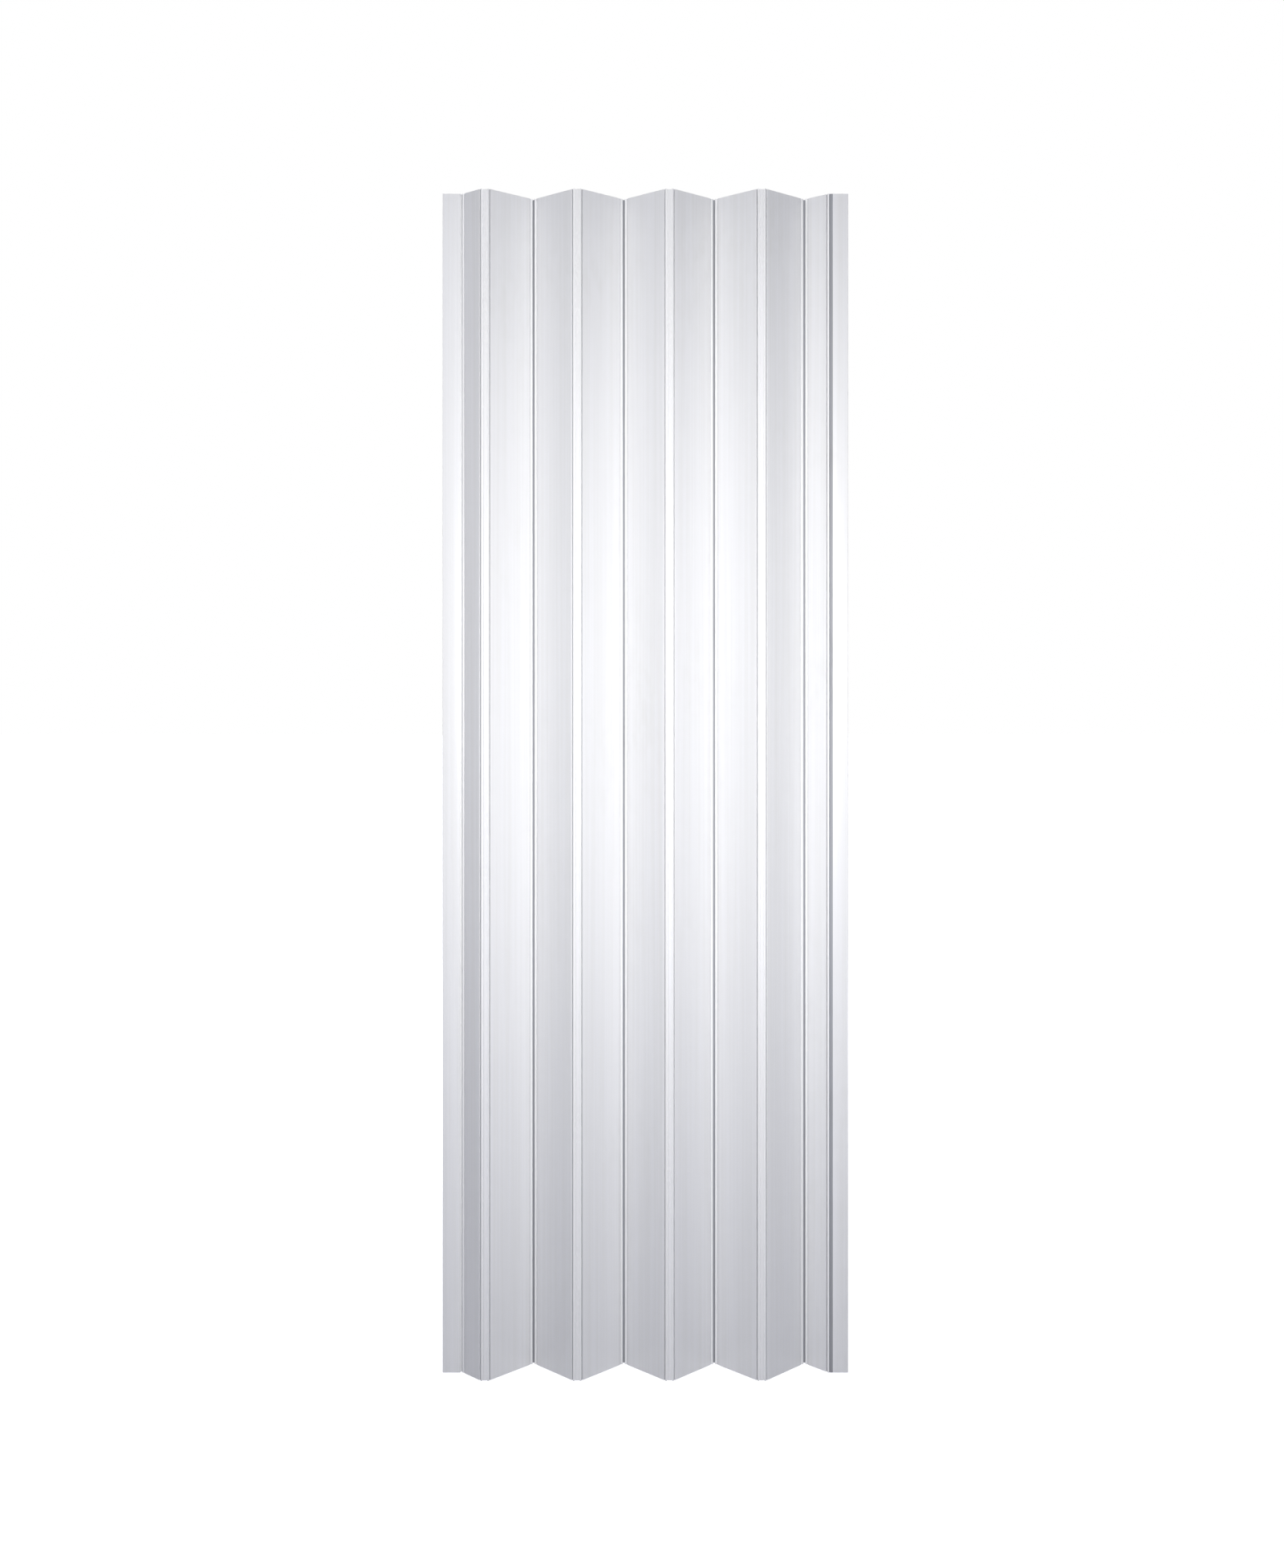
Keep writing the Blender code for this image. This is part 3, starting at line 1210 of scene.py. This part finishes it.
@dataclass(frozen=True)
class GlideSleeves:
    """The nylon sleeves in the tops of the slats, each with a slot for the flat stem of a glide."""

    finish: bpy.types.Material
    edge_radius: float = 0.0004
    slot_width: float = 0.0060
    slot_thickness: float = 0.0012
    slot_radius: float = 0.0002
    slot_overcut: float = 0.001
    mouth_chamfer: float = 0.0002
    chamfer_steps: int = 2
    rim_angle: float = 60.0

    def build(self) -> None:
        """Models the sleeve of each full slat and that of the lead stile."""
        pivots = joint_pivots()
        for name in sorted(node for node in frame["nodes"] if node.startswith("glide_anchor_")):
            slat = name.replace("glide_anchor_", "slat_")
            if slat in pivots:
                left, right = pivots[slat]
                lean = math.atan2(right.y - left.y, right.x - left.x)
                self._sleeve(name, slat, (left + right) / 2, lean)
            else:
                low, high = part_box(name)
                self._sleeve(name, "lead_stile", (low + high) / 2, 0.0)

    def _sleeve(self, node: str, body: str, middle: Vector, lean: float) -> None:
        """Models one sleeve at the origin and lays it in its cell.

        Args:
            node: The CAD node that it replaces.
            body: The body that it moves with.
            middle: The middle of the cell.
            lean: How far the cell is turned about Z, in radians.
        """
        upright = Matrix.Rotation(-lean, 3, "Z")
        corners = [upright @ (point.co - middle) for point in frame["nodes"][node].data.vertices]
        low, high = (tuple(map(extreme, zip(*corners, strict=True))) for extreme in (min, max))
        sleeve = block(f"nylon_{node}", low, high, self.edge_radius)
        slot_low = (-self.slot_width / 2, -self.slot_thickness / 2, low[2] - self.slot_overcut)
        slot_high = (self.slot_width / 2, self.slot_thickness / 2, high[2] + self.slot_overcut)
        slot = block("stem_slot", slot_low, slot_high, self.slot_radius)
        boolean(sleeve, [slot], Cut.REMOVE)
        with editing(sleeve):
            pick(sleeve, Part.EDGES, self._is_rim)
            bpy.ops.mesh.bevel(offset=self.mouth_chamfer, segments=self.chamfer_steps, affect="EDGES")
        sleeve.rotation_euler.z = lean
        sleeve.location = middle
        bake_place(sleeve)
        finish_shape(sleeve)
        dress(sleeve, self.finish, Slot.NYLON, body, node)

    def _is_rim(self, edge: bmesh.types.BMEdge) -> bool:
        """Whether an edge runs round an end face or round the slot's mouth."""
        return not is_upright(edge) and edge.calc_face_angle(0.0) > math.radians(self.rim_angle)


@dataclass(frozen=True)
class Lamp:
    """One soft lamp: a glowing panel that faces a point."""

    name: str
    place: Point
    aim: Point
    size: tuple[float, float]
    power: float
    colour: Colour = (1.0, 1.0, 1.0)

    def build(self) -> None:
        """Hangs the lamp and turns it to its aim."""
        data = bpy.data.lights.new(self.name, "AREA")
        data.shape = "RECTANGLE"
        data.size, data.size_y = self.size
        data.energy = self.power
        data.color = self.colour
        lamp = bpy.data.objects.new(self.name, data)
        bpy.context.scene.collection.objects.link(lamp)
        lamp.location = self.place
        lamp.rotation_euler = (Vector(self.aim) - Vector(self.place)).to_track_quat("-Z", "Y").to_euler()
        lamp.visible_camera = False
        LOG.info("lamp %s, %.0f W", self.name, self.power)


@dataclass(frozen=True)
class Studio:
    """A plain white room: floor, world, lamps and camera."""

    floor_middle: Point = (0.34, 0.0, -1.012)
    floor_size: float = 40.0
    floor_colour: Colour = (0.45, 0.45, 0.46)
    floor_seen: Colour = (0.95, 0.95, 0.95)
    floor_roughness: float = 0.9
    floor_glow: tuple[float, float] = (0.70, 1.0)
    glow_reach: tuple[float, float] = (0.7, 3.0)
    ambient: Colour = (0.77, 0.805, 1.0)
    ambient_strength: float = 0.255
    lamps: tuple[Lamp, ...] = (
        Lamp("key", (0.50, -1.35, 0.22), (0.34, 0.0, 0.18), (0.6, 0.6), 17.6, (1.0, 0.99, 0.965)),
        Lamp("low", (0.55, -1.9, -0.45), (0.30, 0.0, -0.1), (0.6, 0.6), 2.3, (0.66, 0.72, 1.0)),
        Lamp("upper", (-0.60, -0.9, 1.25), (0.1, 0.0, 0.8), (0.3, 0.3), 2.3),
        Lamp("rear", (0.34, 3.0, 1.2), (0.34, 0.0, 0.0), (2.5, 2.5), 55.0),
    )
    camera_place: Point = (0.3383, -2.925, 0.241)
    lens: float = 39.55
    sensor: float = 36.0
    frame_shift: float = -0.0911

    def build(self) -> None:
        """Sets up the whole studio."""
        self._floor()
        self._world()
        for lamp in self.lamps:
            lamp.build()
        self._camera()
        bpy.context.scene.view_settings.view_transform = "Standard"

    @staticmethod
    def _seen_directly(nodes: Nodes) -> Shader:
        """Tells the rays that show the background itself from those that light the door.

        Args:
            nodes: The nodes of the floor's material or of the world.

        Returns:
            1 for camera, glossy and transmission rays, and 0 for the rest.
        """
        kinds = ("Is Camera Ray", "Is Glossy Ray", "Is Transmission Ray")
        camera, glossy, through = (nodes.add("ShaderNodeLightPath", output=kind) for kind in kinds)
        return camera.math("MAXIMUM", glossy).math("MAXIMUM", through)

    def _floor(self) -> None:
        """A wide floor, grey to the light that it throws back and near white to the camera."""
        add = bpy.ops.mesh.primitive_plane_add
        floor = primitive("studio_floor", add, size=self.floor_size, location=self.floor_middle)
        made = bpy.data.materials.new("studio_floor")
        made.use_nodes = True
        nodes = Nodes(made.node_tree)
        shader = made.node_tree.nodes["Principled BSDF"]
        seen = self._seen_directly(nodes)
        place = nodes.add("ShaderNodeTexCoord", output="Object")
        distance = nodes.add("ShaderNodeVectorMath", {"operation": "LENGTH"}, {0: place}, "Value")
        near, far = self.glow_reach
        dim, full = self.floor_glow
        glow = ((distance - near) * (1 / (far - near))).math("MAXIMUM", 0.0).math("MINIMUM", 1.0)
        glow = (glow * (full - dim) + dim) * seen
        nodes.feed(
            shader,
            {
                "Base Color": seen.between(self.floor_colour, self.floor_seen),
                "Roughness": self.floor_roughness,
                "Emission Color": glow.between((0.0, 0.0, 0.0), (1.0, 1.0, 1.0)),
                "Emission Strength": 1.0,
                "Specular IOR Level": 0.0,
            },
        )
        floor.data.materials.append(made)
        floor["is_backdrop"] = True

    def _world(self) -> None:
        """A dim even light, which is white to the camera."""
        world = bpy.data.worlds.new("studio_world")
        bpy.context.scene.world = world
        world.use_nodes = True
        nodes = Nodes(world.node_tree)
        seen = self._seen_directly(nodes)
        dim = tuple(part * self.ambient_strength for part in self.ambient)
        background = world.node_tree.nodes["Background"]
        nodes.feed(background, {"Color": seen.between(dim, (1.0, 1.0, 1.0)), "Strength": 1.0})

    def _camera(self) -> None:
        """A level camera, shifted down to take in the whole door."""
        data = bpy.data.cameras.new("camera")
        data.sensor_width = self.sensor
        data.lens = self.lens
        data.shift_y = self.frame_shift
        camera = bpy.data.objects.new("camera", data)
        bpy.context.scene.collection.objects.link(camera)
        camera.location = self.camera_place
        camera.rotation_euler = (math.radians(90.0), 0.0, 0.0)
        bpy.context.scene.camera = camera


def write_sizes() -> None:
    boxes = {"cad": CAD_BOUNDS, "visual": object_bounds()}
    plain = {name: [list(corner) for corner in box] for name, box in boxes.items()}
    LOG.info("size %s", plain)


def main() -> None:
    """Builds the door and the studio."""
    logging.basicConfig(level=logging.INFO, format="%(message)s")
    vinyl = Vinyl("white_vinyl", colour=(0.871, 0.874, 0.884), roughness=0.36).build()
    # Lighter vinyl for the slats' beads: its lighter colour is a painted highlight.
    bead_highlight = Vinyl("bead_vinyl", (0.950, 0.952, 0.957), roughness=0.20, scuffed=(0.91, 0.91, 0.90)).build()
    # Grey vinyl for the slats' seams: painted shade, not the vinyl's own colour.
    seam_shade = Vinyl("seam_vinyl", (0.38, 0.38, 0.40), roughness=0.50, scuffed=(0.34, 0.34, 0.35)).build()
    soft = Vinyl("soft_vinyl", (0.92, 0.92, 0.93), roughness=0.24, scuffed=(0.88, 0.88, 0.87)).build()
    wall = Vinyl("wall_vinyl", (0.90, 0.90, 0.91), roughness=0.30).build()
    # Grey vinyl for the webs' inner sides: painted shade, not the vinyl's own colour.
    groove_shade = Vinyl("groove_vinyl", (0.36, 0.37, 0.40), roughness=0.55, scuffed=(0.30, 0.30, 0.31)).build()
    nylon = Nylon("natural_nylon", colour=(0.72, 0.71, 0.68), roughness=0.42).build()
    rubber = MagnetRubber("magnet_rubber", colour=(0.05, 0.047, 0.045), roughness=0.75).build()
    hinge = HingeSizes()
    Curtain(hinge, SlatFinish(vinyl, bead_highlight, seam_shade), LipFinish(soft, groove_shade)).build()
    WallStrip(hinge, vinyl, LipFinish(wall, wall), leg_thickness=0.0024).build()
    # The lead stile's lip is grey on both sides: painted shade, on its outer side too.
    LeadStile(hinge, vinyl, LipFinish(groove_shade, groove_shade), leg_thickness=0.0042).build()
    MagnetStrip(rubber).build()
    GlideSleeves(nylon).build()
    Studio().build()
    write_sizes()


if __name__ == "__main__":
    main()
